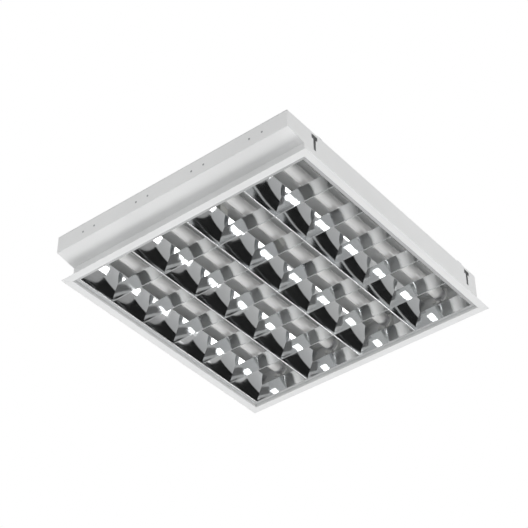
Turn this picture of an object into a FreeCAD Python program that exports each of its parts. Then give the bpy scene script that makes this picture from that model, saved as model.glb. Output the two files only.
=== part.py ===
"""Recessed ceiling troffer for a 600 mm grid: four tubes over a hinged double-parabolic louvre.

Millimetres. The origin is the middle of the trim flange's underside, the face that lies on the ceiling
grid. +Z is up, the tubes run along X, the end wall that steps out over the grid is at -X and the louvre's
hinge is at -Y.
"""
import FreeCAD, Part
import math
import os
import Sketcher

SIZES = {
    # Housing
    "module_length": 595.0,
    "module_width": 595.0,
    "flange_width": 15.5,
    "sheet": 0.7,
    "bend_radius": 2.0,
    "step_reach": 47.0,
    "step_high": 41.0,
    "step_low": 33.0,
    "tab_length": 12.0,
    "tab_above_shelf": 2.8,
    "tab_below_roof": 2.0,
    "lap_height": 8.0,
    # Bracket slots in the long walls and holes in the roof
    "slot_inset": 32.0,
    "slot_head_width": 17.0,
    "slot_head_height": 10.0,
    "slot_stem_width": 7.0,
    "slot_height": 36.0,
    "slot_drop": 6.5,
    "hanger_spacing": 360.0,
    "hanger_inset": 17.0,
    "hanger_hole_radius": 2.6,
    "lug_from_slot": 20.0,
    "lug_length": 14.0,
    "lug_width": 4.0,
    "lug_height": 4.0,
    "lug_gap": 2.5,
    # Louvre frame
    "louvre_gap": 0.8,
    "louvre_recess": 5.5,
    "louvre_sheet": 0.5,
    "lip_width": 7.8,
    "return_height": 12.5,
    # Lengthways reflectors and cross blades
    "reflector_height": 48.5,
    "reflector_half_top": 36.0,
    "reflector_half_edge": 1.2,
    "reflector_radius": 120.0,
    "reflector_fold": 4.0,
    "blade_height": 33.0,
    "blade_half_top": 6.0,
    "blade_half_edge": 0.8,
    "blade_radius": 150.0,
    "blade_play": 0.15,
    # Louvre hinge and clips
    "hinge_from_end": 80.5,
    "hinge_from_opening": 2.8,
    "hinge_rise": 2.2,
    "hinge_wire_radius": 1.2,
    "hinge_play": 0.05,
    "hinge_leg_spacing": 20.0,
    "hinge_notch": 5.0,
    "hinge_lug_half_width": 4.0,
    "hinge_lug_half_depth": 2.5,
    "bracket_width": 30.0,
    "bracket_height": 20.0,
    "bracket_gap": 6.0,
    "bracket_sheet": 1.0,
    "clip_width": 14.0,
    "clip_sheet": 0.6,
    "clip_gap": 0.4,
    "clip_foot": 18.0,
    "clip_bend_rise": 10.0,
    "clip_back_rise": 3.0,
    "clip_nose_drop": 4.0,
    "clip_tail_drop": 8.5,
    "clip_back_inset": 5.0,
    # Tubes, caps and lampholders
    "tube_over_blades": 10.5,
    "tube_under_roof": 4.3,
    "gear_over_reflectors": 4.3,
    "tube_radius": 13.0,
    "glass": 0.7,
    "cap_length": 14.0,
    "cap_step": 0.1,
    "cap_wall": 0.5,
    "cap_face": 0.8,
    "neck_length": 10.0,
    "neck_play": 0.05,
    "pin_radius": 1.175,
    "pin_length": 7.1,
    "pin_spacing": 12.7,
    "lamp_gap": 0.3,
    "holder_back": 1.2,
    "holder_side": 5.4,
    "holder_chin": 6.9,
    "rotor_back": 0.9,
    "rotor_rim": 1.475,
    "rotor_play": 0.08,
    "pin_play": 0.275,
    "peg_near": 9.5,
    "peg_far": 19.5,
    "peg_drop": 3.0,
    "peg_radius": 1.5,
    "peg_rim": 0.4,
    "peg_play": 0.1,
    "ear_half_height": 4.0,
    "ear_depth": 4.0,
    # Control gear above the middle reflector
    "ballast_length": 340.0,
    "ballast_width": 30.0,
    "ballast_height": 21.0,
    "ballast_sheet": 0.6,
    "tray_sheet": 1.0,
    "gear_terminal_length": 10.0,
    "gear_terminal_height": 12.0,
    "gear_foot": 10.0,
    "screw_radius": 1.5,
    "screw_head": 3.0,
    "screw_play": 0.1,
    "well_depth": 3.0,
    "block_length": 22.0,
    "block_width": 24.0,
    "block_height": 18.0,
    "gear_offset": 17.0,
    "block_offset": 16.0,
    "grommet_gap": 14.0,
    "grommet_bore": 5.0,
    "grommet_wall": 3.0,
    "grommet_flange": 1.5,
    "grommet_lip": 1.5,
    "stud_radius": 2.0,
    "stud_length": 10.0,
    "stud_gap": 12.0,
    # Wiring
    "loom_radius": 1.5,
    "loom_under_tab": 0.5,
    "loom_inset": 5.3,
    "loom_tail": 10.0,
    "loom_gap": 0.6,
    "lead_radius": 1.2,
    "lead_from_screw": 8.0,
    "mains_radius": 1.0,
    "mains_pitch": 3.0,
}
ROWS = 4
CELLS = 6
CUT_PAST = 2.0  # how far a cutting outline runs past what it cuts

doc = FreeCAD.newDocument("Troffer")
sheet = doc.addObject("Spreadsheet::Sheet", "Dims")
for line, (alias, amount) in enumerate(SIZES.items(), 1):
    sheet.set(f"A{line}", alias)
    sheet.set(f"B{line}", str(amount))
    sheet.setAlias(f"B{line}", alias)
doc.recompute()
nodes = {}


class Size:
    """A length that carries its value and the sheet expression that gives it."""

    def __init__(self, value, text):
        self.value = value
        self.text = text

    def __add__(self, other):
        other = as_size(other)
        return Size(self.value + other.value, f"({self.text} + {other.text})")

    def __sub__(self, other):
        other = as_size(other)
        return Size(self.value - other.value, f"({self.text} - {other.text})")

    def __mul__(self, other):
        other = as_size(other)
        return Size(self.value * other.value, f"({self.text} * {other.text})")

    def __truediv__(self, other):
        other = as_size(other)
        return Size(self.value / other.value, f"({self.text} / {other.text})")

    def __neg__(self):
        return Size(-self.value, f"(0 - {self.text})")

    def root(self):
        return Size(math.sqrt(self.value), f"sqrt({self.text})")

    def or_more(self, other):
        return Size(max(self.value, other.value), f"max({self.text}; {other.text})")


def as_size(amount):
    """Plain numbers become sizes too."""
    return amount if isinstance(amount, Size) else Size(float(amount), f"({float(amount)})")


def dim(alias):
    """One driving dimension, as the sheet holds it."""
    return Size(float(sheet.get(alias)), f"Dims.{alias}")


def bind(thing, path, amount):
    thing.setExpression(path, as_size(amount).text)


# Named places that several pieces share.
half_length = dim("module_length") / 2
half_width = dim("module_width") / 2
neck_x = half_length - dim("flange_width")
wall_y = half_width - dim("flange_width")
inner_x = neck_x - dim("sheet")
inner_y = wall_y - dim("sheet")
step_x = neck_x + dim("step_reach")
inner_step = step_x - dim("sheet")

frame_x = inner_x - dim("louvre_gap")
frame_y = inner_y - dim("louvre_gap")
open_x = frame_x - dim("lip_width")
open_y = frame_y - dim("lip_width")
louvre_z = dim("louvre_recess")
row_pitch = open_y * 2 / ROWS
cell_pitch = open_x * 2 / CELLS

lamp_z = louvre_z + dim("blade_height") + dim("tube_over_blades") + dim("tube_radius")
reflector_top = louvre_z + dim("reflector_height")
over_tubes = lamp_z + dim("tube_radius") + dim("tube_under_roof")
over_gear = reflector_top + dim("gear_over_reflectors") + dim("ballast_height")
roof_in = over_tubes.or_more(over_gear)
roof_top = roof_in + dim("sheet")
tab_under = roof_in - dim("sheet")
slot_top = roof_top - dim("slot_drop")
slot_x = neck_x - dim("slot_inset")

cap_radius = dim("tube_radius") + dim("cap_step")
rotor_radius = dim("pin_spacing") / 2 + dim("pin_radius") + dim("rotor_rim")
rotor_depth = dim("pin_length") + dim("rotor_back")
pin_slot = (dim("pin_radius") + dim("pin_play")) * 2
holder_depth = rotor_depth + dim("lamp_gap") + dim("holder_back")
lamp_start = -inner_step + holder_depth + dim("lamp_gap")
lamp_end = inner_x - holder_depth - dim("lamp_gap")
lamp_length = lamp_end - lamp_start
row_places = [row_pitch * (row - (ROWS - 1) / 2) for row in range(ROWS)]

hinge_y = -(open_y + dim("hinge_from_opening"))
hinge_z = louvre_z + dim("hinge_rise")
hinge_x = frame_x - dim("hinge_from_end")
hinge_places = (-hinge_x, hinge_x)
return_top = louvre_z + dim("return_height")
bracket_low = return_top + dim("bracket_gap")

gear_middle = (lamp_start + lamp_end) / 2
gear_start = gear_middle - dim("ballast_length") / 2
gear_end = gear_middle + dim("ballast_length") / 2
terminal_start = gear_start - dim("gear_terminal_length")
terminal_end = gear_end + dim("gear_terminal_length")
tray_under = roof_in - dim("tray_sheet")
screw_places = (terminal_start - dim("gear_foot") / 2, terminal_end + dim("gear_foot") / 2)
gear_y = dim("gear_offset")
block_x = gear_start - dim("gear_terminal_length") / 2
block_start = block_x - dim("block_length") / 2
block_end = block_x + dim("block_length") / 2
block_y = -dim("block_offset")
grommet_x = block_start - dim("grommet_gap")
grommet_hole = dim("grommet_bore") + dim("grommet_wall")

peg_head = dim("peg_radius") + dim("peg_play") + dim("peg_rim")
loom_z = tab_under - dim("loom_under_tab") - dim("loom_radius")
holder_top = loom_z - dim("loom_radius") - dim("loom_gap")
loom_places = {"stepped": -inner_step + dim("loom_inset"), "flat": inner_x - dim("loom_inset")}


class Face:
    """A concave reflector face: u is the way out over the cell from the knife edge, w the height above it."""

    def __init__(self, edge, top, height, radius):
        rise = top - edge
        chord = (rise * rise + height * height).root()
        reach = (radius * radius - chord * chord / 4).root()
        self.centre = ((edge + top) / 2 + reach * height / chord, height / 2 - reach * rise / chord)
        self.radius = radius

    def out(self, w, behind=0):
        """How far out the face lies at height w, or a surface that lies behind it."""
        radius = self.radius + behind
        drop = as_size(w) - self.centre[1]
        return self.centre[0] - (radius * radius - drop * drop).root()


reflector_face = Face(
    dim("reflector_half_edge"), dim("reflector_half_top"), dim("reflector_height"), dim("reflector_radius")
)
blade_face = Face(dim("blade_half_edge"), dim("blade_half_top"), dim("blade_height"), dim("blade_radius"))


def keep(name, thing):
    """Names a finished sub-part."""
    thing.Label = name
    nodes[name] = thing
    return thing


def vector(pair):
    return FreeCAD.Vector(as_size(pair[0]).value, as_size(pair[1]).value, 0)


def new_body(name):
    return doc.addObject("PartDesign::Body", name)


def sketch_on(body, role, offset=0):
    """A sketch on one of the body's own planes, moved along the plane's normal."""
    sketch = body.newObject("Sketcher::SketchObject", f"{body.Name}_sketch")
    plane = next(thing for thing in body.Origin.OriginFeatures if thing.Role == role)
    sketch.AttachmentSupport = (plane, [""])
    sketch.MapMode = "FlatFace"
    bind(sketch, "AttachmentOffset.Base.z", offset)
    return sketch


def pin_point(sketch, edge, end, point):
    """Ties one end of an edge to its two coordinates."""
    for kind, amount in zip(("DistanceX", "DistanceY"), point):
        amount = as_size(amount)
        index = sketch.addConstraint(Sketcher.Constraint(kind, -1, 1, edge, end, amount.value))
        sketch.setExpression(f"Constraints[{index}]", amount.text)


def outline(sketch, points, arcs=()):
    """A closed loop through the points; arcs gives (centre, radius) for the edge that leaves a point."""
    arcs = dict(arcs)
    ends = []
    for index, start in enumerate(points):
        stop = points[(index + 1) % len(points)]
        if index not in arcs:
            edge = sketch.addGeometry(Part.LineSegment(vector(start), vector(stop)), False)
            ends.append((edge, 1, 2))
            continue
        middle, radius = arcs[index]
        spokes = [vector(start) - vector(middle), vector(stop) - vector(middle)]
        angles = [math.atan2(spoke.y, spoke.x) for spoke in spokes]
        anticlockwise = math.sin(angles[1] - angles[0]) > 0
        low, high = angles if anticlockwise else reversed(angles)
        circle = Part.Circle(vector(middle), FreeCAD.Vector(0, 0, 1), as_size(radius).value)
        edge = sketch.addGeometry(Part.ArcOfCircle(circle, low, high), False)
        ends.append((edge, 1, 2) if anticlockwise else (edge, 2, 1))
        limit = sketch.addConstraint(Sketcher.Constraint("Radius", edge, as_size(radius).value))
        sketch.setExpression(f"Constraints[{limit}]", as_size(radius).text)
    for index, (edge, first, last) in enumerate(ends):
        following, next_first, _ = ends[(index + 1) % len(ends)]
        sketch.addConstraint(Sketcher.Constraint("Coincident", edge, last, following, next_first))
        pin_point(sketch, edge, first, points[index])


def rectangle(sketch, low, high):
    outline(sketch, [low, (high[0], low[1]), high, (low[0], high[1])])


def circle_in(sketch, centre, radius):
    radius = as_size(radius)
    shape = Part.Circle(vector(centre), FreeCAD.Vector(0, 0, 1), radius.value)
    edge = sketch.addGeometry(shape, False)
    limit = sketch.addConstraint(Sketcher.Constraint("Radius", edge, radius.value))
    sketch.setExpression(f"Constraints[{limit}]", radius.text)
    pin_point(sketch, edge, 3, centre)


def pad(body, sketch, length, side="One side"):
    feature = body.newObject("PartDesign::Pad", f"{body.Name}_pad")
    feature.Profile = sketch
    feature.SideType = side
    bind(feature, "Length", length)
    body.Tip = feature
    return feature


def pocket(body, sketch, length, side="One side"):
    """Cuts against the sketch's normal, or to both sides of it."""
    feature = body.newObject("PartDesign::Pocket", f"{body.Name}_pocket")
    feature.Profile = sketch
    feature.SideType = side
    bind(feature, "Length", length)
    body.Tip = feature
    return feature


def place(thing, base, turn=None):
    """Moves a piece to a bound place, after turning it."""
    if turn is not None:
        thing.Placement = FreeCAD.Placement(FreeCAD.Vector(0, 0, 0), turn)
    for letter, amount in zip("xyz", base):
        bind(thing, f"Placement.Base.{letter}", amount)
    return thing


def box(name, low, high):
    """A block between two corners."""
    block = doc.addObject("Part::Box", name)
    for side, start, stop in zip(("Length", "Width", "Height"), low, high):
        bind(block, side, as_size(stop) - start)
    return place(block, low)


AXIS_TURNS = {
    "x": FreeCAD.Rotation(FreeCAD.Vector(0, 0, 1), FreeCAD.Vector(1, 0, 0)),
    "y": FreeCAD.Rotation(FreeCAD.Vector(0, 0, 1), FreeCAD.Vector(0, 1, 0)),
    "z": FreeCAD.Rotation(),
}


def rod(name, axis, start, length, radius):
    """A cylinder from its start centre towards +axis."""
    cylinder = doc.addObject("Part::Cylinder", name)
    bind(cylinder, "Radius", radius)
    bind(cylinder, "Height", length)
    return place(cylinder, start, AXIS_TURNS[axis])


def fused(name, pieces):
    union = doc.addObject("Part::MultiFuse", name)
    union.Shapes = pieces
    union.Refine = True
    return union


def cut(name, base, tool):
    result = doc.addObject("Part::Cut", name)
    result.Base = base
    result.Tool = tool
    return result


def group(name, pieces):
    """Separate solids that share one node."""
    compound = doc.addObject("Part::Compound", name)
    compound.Links = pieces
    return compound


def shelf_height(x):
    """The underside of the stepped end's sloping shelf, x measured as a distance from the middle."""
    slope = (dim("step_high") - dim("step_low")) / dim("step_reach")
    return dim("step_low") + (x - neck_x) * slope


def shelf_thickness():
    slope = (dim("step_high") - dim("step_low")) / dim("step_reach")
    return dim("sheet") * (slope * slope + 1).root()


def housing_body():
    """Roof and long walls folded from one sheet, with the two long trim flanges."""
    body = new_body("housing_body")
    bend = dim("bend_radius")
    inside = bend - dim("sheet")
    section = sketch_on(body, "YZ_Plane", -step_x)
    left_bend = (-wall_y + bend, roof_top - bend)
    right_bend = (wall_y - bend, roof_top - bend)
    outline(
        section,
        [
            (-wall_y, 0),
            (-wall_y, roof_top - bend),
            (-wall_y + bend, roof_top),
            (wall_y - bend, roof_top),
            (wall_y, roof_top - bend),
            (wall_y, 0),
            (inner_y, 0),
            (inner_y, roof_top - bend),
            (wall_y - bend, roof_in),
            (-wall_y + bend, roof_in),
            (-inner_y, roof_top - bend),
            (-inner_y, 0),
        ],
        {1: (left_bend, bend), 3: (right_bend, bend), 7: (right_bend, inside), 9: (left_bend, inside)},
    )
    pad(body, section, step_x + neck_x)

    under_shelf = sketch_on(body, "XZ_Plane")
    outline(
        under_shelf,
        [
            (-step_x - CUT_PAST, -as_size(CUT_PAST)),
            (-neck_x, -as_size(CUT_PAST)),
            (-neck_x, dim("step_low")),
            (-step_x, dim("step_high")),
            (-step_x - CUT_PAST, dim("step_high")),
        ],
    )
    pocket(body, under_shelf, wall_y * 2 + CUT_PAST, "Symmetric")

    for side in (-1, 1):
        flange = sketch_on(body, "XY_Plane")
        outline(
            flange,
            [
                (-half_length, half_width * side),
                (half_length, half_width * side),
                (neck_x, wall_y * side),
                (-neck_x, wall_y * side),
            ],
        )
        pad(body, flange, dim("sheet"))

    slots = sketch_on(body, "XZ_Plane")
    head = dim("slot_head_width") / 2
    stem = dim("slot_stem_width") / 2
    shoulder = slot_top - dim("slot_head_height")
    bottom = slot_top - dim("slot_height")
    for side in (-1, 1):
        middle = slot_x * side
        outline(
            slots,
            [
                (middle - stem, bottom),
                (middle + stem, bottom),
                (middle + stem, shoulder),
                (middle + head, shoulder),
                (middle + head, slot_top),
                (middle - head, slot_top),
                (middle - head, shoulder),
                (middle - stem, shoulder),
            ],
        )
    pocket(body, slots, wall_y * 2 + CUT_PAST, "Symmetric")

    holes = sketch_on(body, "XY_Plane", roof_top + CUT_PAST)
    for side_x in (-1, 1):
        for side_y in (-1, 1):
            centre = (dim("hanger_spacing") / 2 * side_x, (wall_y - dim("hanger_inset")) * side_y)
            circle_in(holes, centre, dim("hanger_hole_radius"))
    for x in screw_places:
        circle_in(holes, (x, gear_y), dim("screw_radius"))
    circle_in(holes, (grommet_x, block_y), grommet_hole)
    pocket(body, holes, dim("sheet") + CUT_PAST * 2)
    keep("housing_body", body)


def end_flange(body, side):
    """The short trim flange, mitred into the long ones."""
    flange = sketch_on(body, "XY_Plane")
    outline(
        flange,
        [
            (half_length * side, -half_width),
            (half_length * side, half_width),
            (neck_x * side, wall_y),
            (neck_x * side, -wall_y),
        ],
    )
    pad(body, flange, dim("sheet"))


def side_tabs(body, start, stop):
    """Two tabs that lie against the long walls, where the end wall is welded on."""
    low = dim("step_high") + dim("tab_above_shelf")
    for side in (-1, 1):
        tab = sketch_on(body, "XY_Plane", low)
        rectangle(tab, (start, (inner_y - dim("sheet")) * side), (stop, inner_y * side))
        pad(body, tab, tab_under - low - dim("tab_below_roof"))


def peg_holes(body, plane_x, side):
    """Two holes for each lampholder."""
    holes = sketch_on(body, "YZ_Plane", plane_x)
    radius = dim("peg_radius") + dim("peg_play")
    for y in row_places:
        for offset in (dim("peg_near"), -dim("peg_far")):
            circle_in(holes, (y - offset * side, lamp_z - dim("peg_drop")), radius)
    pocket(body, holes, dim("sheet") + CUT_PAST * 2)


def end_wall_stepped():
    """End wall that steps out over the ceiling grid, to make room for the tubes' length.

    Its shelf turns down inside the neck, where the two are welded together.
    """
    body = new_body("end_wall_stepped")
    lap_x = inner_x - dim("sheet")
    shelf_and_lap = [
        (-step_x, dim("step_high")),
        (-inner_x, shelf_height(inner_x)),
        (-inner_x, dim("step_low") - dim("lap_height")),
        (-lap_x, dim("step_low") - dim("lap_height")),
        (-lap_x, shelf_height(lap_x) + shelf_thickness()),
        (-inner_step, shelf_height(inner_step) + shelf_thickness()),
    ]
    section = sketch_on(body, "XZ_Plane")
    outline(
        section,
        [
            (-step_x, roof_in),
            *shelf_and_lap,
            (-inner_step, tab_under),
            (-inner_step + dim("tab_length"), tab_under),
            (-inner_step + dim("tab_length"), roof_in),
        ],
    )
    pad(body, section, (inner_y - dim("bend_radius")) * 2, "Symmetric")
    edges = sketch_on(body, "XZ_Plane")
    outline(
        edges,
        [
            (-step_x, roof_top - dim("bend_radius")),
            *shelf_and_lap,
            (-inner_step, roof_top - dim("bend_radius")),
        ],
    )
    pad(body, edges, inner_y * 2, "Symmetric")
    side_tabs(body, -inner_step, -inner_step + dim("tab_length"))
    peg_holes(body, -inner_step + CUT_PAST, -1)
    keep("end_wall_stepped", body)


def end_neck_stepped():
    """Upright neck below the stepped end's shelf, with the short trim flange folded out of it."""
    body = new_body("end_neck_stepped")
    section = sketch_on(body, "XZ_Plane")
    outline(
        section,
        [
            (-neck_x, dim("step_low")),
            (-neck_x, 0),
            (-inner_x, 0),
            (-inner_x, shelf_height(inner_x)),
        ],
    )
    pad(body, section, inner_y * 2, "Symmetric")
    end_flange(body, -1)
    keep("end_neck_stepped", body)


def end_wall_flat():
    """Plain upright end wall."""
    body = new_body("end_wall_flat")
    section = sketch_on(body, "XZ_Plane")
    outline(
        section,
        [
            (neck_x, 0),
            (neck_x, roof_in),
            (inner_x - dim("tab_length"), roof_in),
            (inner_x - dim("tab_length"), tab_under),
            (inner_x, tab_under),
            (inner_x, 0),
        ],
    )
    pad(body, section, (inner_y - dim("bend_radius")) * 2, "Symmetric")
    end_flange(body, 1)
    edges = sketch_on(body, "XZ_Plane")
    rectangle(edges, (inner_x, 0), (neck_x, roof_top - dim("bend_radius")))
    pad(body, edges, inner_y * 2, "Symmetric")
    side_tabs(body, inner_x - dim("tab_length"), inner_x)
    peg_holes(body, neck_x + CUT_PAST, 1)
    keep("end_wall_flat", body)


def suspension_lugs():
    """Four bridge-shaped lugs on the roof's edges, beside the bracket slots."""
    lugs = []
    for side_x in (-1, 1):
        for side_y in (-1, 1):
            middle = (slot_x - dim("lug_from_slot")) * side_x
            start = middle - dim("lug_length") / 2
            stop = middle + dim("lug_length") / 2
            leg = dim("lug_height") - dim("lug_gap")
            centre = (wall_y - dim("bend_radius") - dim("lug_width") / 2) * side_y
            low = centre - dim("lug_width") / 2
            high = centre + dim("lug_width") / 2
            bridge = box("lug_block", (start, low, roof_top), (stop, high, roof_top + dim("lug_height")))
            under = box(
                "lug_opening",
                (start + leg, low - CUT_PAST, roof_top - CUT_PAST),
                (stop - leg, high + CUT_PAST, roof_top + dim("lug_gap")),
            )
            lugs.append(cut("lug", bridge, under))
    keep("suspension_lugs", group("suspension_lugs", lugs))


def vee_section(sketch, face, edge, top, height, fold, base_z):
    """A strip folded round a narrow flat edge: two concave faces, with folded rims where fold isn't None."""
    sheet_size = dim("louvre_sheet")
    centre_u, centre_w = face.centre
    half = [(edge, 0), (top, height)]
    if fold is None:
        half.append((face.out(height, sheet_size), height))
    else:
        half.append((top - fold, height))
        half.append((top - fold, height - sheet_size))
        half.append((face.out(height - sheet_size, sheet_size), height - sheet_size))
    half.append((face.out(sheet_size, sheet_size), sheet_size))
    mirrored = [(-as_size(u), w) for u, w in reversed(half)]
    points = [(u, base_z + w) for u, w in half + mirrored]
    right = (centre_u, base_z + centre_w)
    left = (-centre_u, base_z + centre_w)
    last = len(half) - 2
    arcs = {
        0: (right, face.radius),
        last: (right, face.radius + sheet_size),
        last + 2: (left, face.radius + sheet_size),
        len(points) - 2: (left, face.radius),
    }
    outline(sketch, points, arcs)


def frame_section(sketch, face, edge, top, height, fold, opening, side):
    """One side of the louvre frame: reflecting face, flat lip and upturned outer edge."""
    sheet_size = dim("louvre_sheet")
    lip = dim("lip_width")
    rise = dim("return_height")
    profile = [(edge, 0), (top, height)]
    if fold is None:
        profile.append((face.out(height, sheet_size), height))
    else:
        profile.append((top - fold, height))
        profile.append((top - fold, height - sheet_size))
        profile.append((face.out(height - sheet_size, sheet_size), height - sheet_size))
    last = len(profile) - 1
    profile += [
        (face.out(sheet_size, sheet_size), sheet_size),
        (-lip + sheet_size, sheet_size),
        (-lip + sheet_size, rise),
        (-lip, rise),
        (-lip, 0),
    ]
    points = [((opening - u) * side, louvre_z + w) for u, w in profile]
    centre = ((opening - face.centre[0]) * side, louvre_z + face.centre[1])
    outline(sketch, points, {0: (centre, face.radius), last: (centre, face.radius + sheet_size)})


def trim_ends(body, plane, face, height, opening, full_height, depth):
    """Cuts both ends of a strip to the concave faces that it runs between."""
    play = dim("blade_play")
    ends = sketch_on(body, plane)
    low = -as_size(CUT_PAST)
    for side in (-1, 1):
        profile = [
            (-as_size(CUT_PAST), low),
            (face.out(low, -play), low),
            (face.out(height, -play), height),
            (face.out(height, -play), full_height + CUT_PAST),
            (-as_size(CUT_PAST), full_height + CUT_PAST),
        ]
        points = [((opening - u) * side, louvre_z + w) for u, w in profile]
        centre = ((opening - face.centre[0]) * side, louvre_z + face.centre[1])
        outline(ends, points, {1: (centre, face.radius - play)})
    pocket(body, ends, depth, "Symmetric")


def side_reflector(name, side, hinged):
    """Long side of the louvre frame, with half a parabolic reflector."""
    body = new_body(name)
    section = sketch_on(body, "YZ_Plane")
    frame_section(
        section,
        reflector_face,
        dim("reflector_half_edge"),
        dim("reflector_half_top"),
        dim("reflector_height"),
        dim("reflector_fold"),
        open_y,
        side,
    )
    pad(body, section, open_x * 2, "Symmetric")
    trim_ends(
        body,
        "XZ_Plane",
        blade_face,
        dim("blade_height"),
        open_x,
        dim("reflector_height"),
        frame_y * 2 + CUT_PAST,
    )
    if hinged:
        notches = sketch_on(body, "XZ_Plane", frame_y)
        for middle in hinge_places:
            for leg in (-1, 1):
                x = middle + dim("hinge_leg_spacing") / 2 * leg
                low = (x - dim("hinge_notch") / 2, louvre_z + dim("louvre_sheet") * 2)
                high = (x + dim("hinge_notch") / 2, return_top + CUT_PAST)
                rectangle(notches, low, high)
        pocket(body, notches, dim("louvre_sheet") * 2)
    keep(name, body)


def end_reflector(name, side):
    """Short side of the louvre frame, with half a cross blade."""
    body = new_body(name)
    section = sketch_on(body, "XZ_Plane")
    frame_section(
        section,
        blade_face,
        dim("blade_half_edge"),
        dim("blade_half_top"),
        dim("blade_height"),
        None,
        open_x,
        side,
    )
    pad(body, section, frame_y * 2, "Symmetric")
    keep(name, body)


def middle_reflector(number):
    """One lengthways parabolic reflector between two rows."""
    name = f"reflector_{number}"
    body = new_body(name)
    section = sketch_on(body, "YZ_Plane")
    vee_section(
        section,
        reflector_face,
        dim("reflector_half_edge"),
        dim("reflector_half_top"),
        dim("reflector_height"),
        dim("reflector_fold"),
        louvre_z,
    )
    pad(body, section, open_x * 2, "Symmetric")
    trim_ends(
        body,
        "XZ_Plane",
        blade_face,
        dim("blade_height"),
        open_x,
        dim("reflector_height"),
        dim("reflector_half_top") * 2 + CUT_PAST,
    )
    bind(body, "Placement.Base.y", row_pitch * (number - ROWS / 2))
    keep(name, body)


def cross_blade(name, x, y):
    """One concave cross blade, cut to the reflectors on both sides of its row."""
    body = new_body(name)
    section = sketch_on(body, "XZ_Plane")
    vee_section(
        section,
        blade_face,
        dim("blade_half_edge"),
        dim("blade_half_top"),
        dim("blade_height"),
        None,
        louvre_z,
    )
    pad(body, section, row_pitch, "Symmetric")
    trim_ends(
        body,
        "YZ_Plane",
        reflector_face,
        dim("reflector_height"),
        row_pitch / 2,
        dim("reflector_height"),
        dim("blade_half_top") * 2 + CUT_PAST,
    )
    return place(body, (x, y, 0))


def cross_blades(number):
    """The blades of one line across the louvre, one in each row."""
    name = f"cross_blades_{number}"
    x = cell_pitch * (number - CELLS / 2)
    blades = [cross_blade(f"{name}_row_{row}", x, y) for row, y in enumerate(row_places, 1)]
    keep(name, group(name, blades))


def louvre_hinge_lugs():
    """Bored blocks on the louvre's lip that turn on the hinge wires."""
    lugs = []
    wide = dim("hinge_lug_half_width")
    deep = dim("hinge_lug_half_depth")
    for middle in hinge_places:
        low = (middle - wide, hinge_y - deep, louvre_z + dim("louvre_sheet"))
        high = (middle + wide, hinge_y + deep, hinge_z + deep)
        block = box("hinge_block", low, high)
        bore = rod(
            "hinge_bore",
            "x",
            (middle - wide - CUT_PAST, hinge_y, hinge_z),
            wide * 2 + CUT_PAST * 2,
            dim("hinge_wire_radius") + dim("hinge_play"),
        )
        lugs.append(cut("hinge_lug", block, bore))
    keep("louvre_hinge_lugs", group("louvre_hinge_lugs", lugs))


def hinge_wires():
    """Wire staples: the pin of each hinge and the two legs that carry it."""
    wires = []
    radius = dim("hinge_wire_radius")
    span = dim("hinge_leg_spacing")
    head = dim("bracket_sheet")
    leg_top = bracket_low + dim("bracket_sheet")
    for middle in hinge_places:
        start = middle - span / 2
        pieces = [rod("hinge_pin", "x", (start, hinge_y, hinge_z), span, radius)]
        for x in (start, start + span):
            corner = doc.addObject("Part::Sphere", "hinge_corner")
            bind(corner, "Radius", radius)
            pieces.append(place(corner, (x, hinge_y, hinge_z)))
            pieces.append(rod("hinge_leg", "z", (x, hinge_y, hinge_z), leg_top - hinge_z + head, radius))
            pieces.append(rod("hinge_leg_head", "z", (x, hinge_y, leg_top), head, radius + head))
        wires.append(fused("hinge_wire", pieces))
    keep("hinge_wires", group("hinge_wires", wires))


def hinge_bracket(middle):
    """Angle bracket on the long wall that holds one hinge wire."""
    body = new_body("hinge_bracket")
    section = sketch_on(body, "YZ_Plane")
    low = bracket_low
    high = low + dim("bracket_height")
    thick = dim("bracket_sheet")
    shelf_end = hinge_y + dim("hinge_wire_radius") + thick * 2
    outline(
        section,
        [
            (-inner_y, low),
            (shelf_end, low),
            (shelf_end, low + thick),
            (-inner_y + thick, low + thick),
            (-inner_y + thick, high),
            (-inner_y, high),
        ],
    )
    pad(body, section, dim("bracket_width"), "Symmetric")
    holes = sketch_on(body, "XY_Plane", low + thick + CUT_PAST)
    for side in (-1, 1):
        centre = (dim("hinge_leg_spacing") / 2 * side, hinge_y)
        circle_in(holes, centre, dim("hinge_wire_radius") + dim("hinge_play"))
    pocket(body, holes, thick + CUT_PAST * 2)
    return place(body, (middle, 0, 0))


def louvre_clip(middle):
    """Leaf spring on the long wall opposite the hinge, whose nose bears on the louvre's upturned edge."""
    body = new_body("louvre_clip")
    section = sketch_on(body, "YZ_Plane")
    nose_y = frame_y - dim("louvre_sheet") - dim("clip_gap")
    back_y = inner_y - dim("clip_back_inset")
    bend_z = return_top + dim("clip_bend_rise")
    wall_side = [
        (inner_y, bend_z + dim("clip_foot")),
        (inner_y, bend_z),
        (back_y, return_top + dim("clip_back_rise")),
        (nose_y, return_top - dim("clip_nose_drop")),
        (back_y, return_top - dim("clip_tail_drop")),
    ]
    cell_side = [(y - dim("clip_sheet"), z) for y, z in reversed(wall_side)]
    outline(section, wall_side + cell_side)
    pad(body, section, dim("clip_width"), "Symmetric")
    return place(body, (middle, 0, 0))


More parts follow.
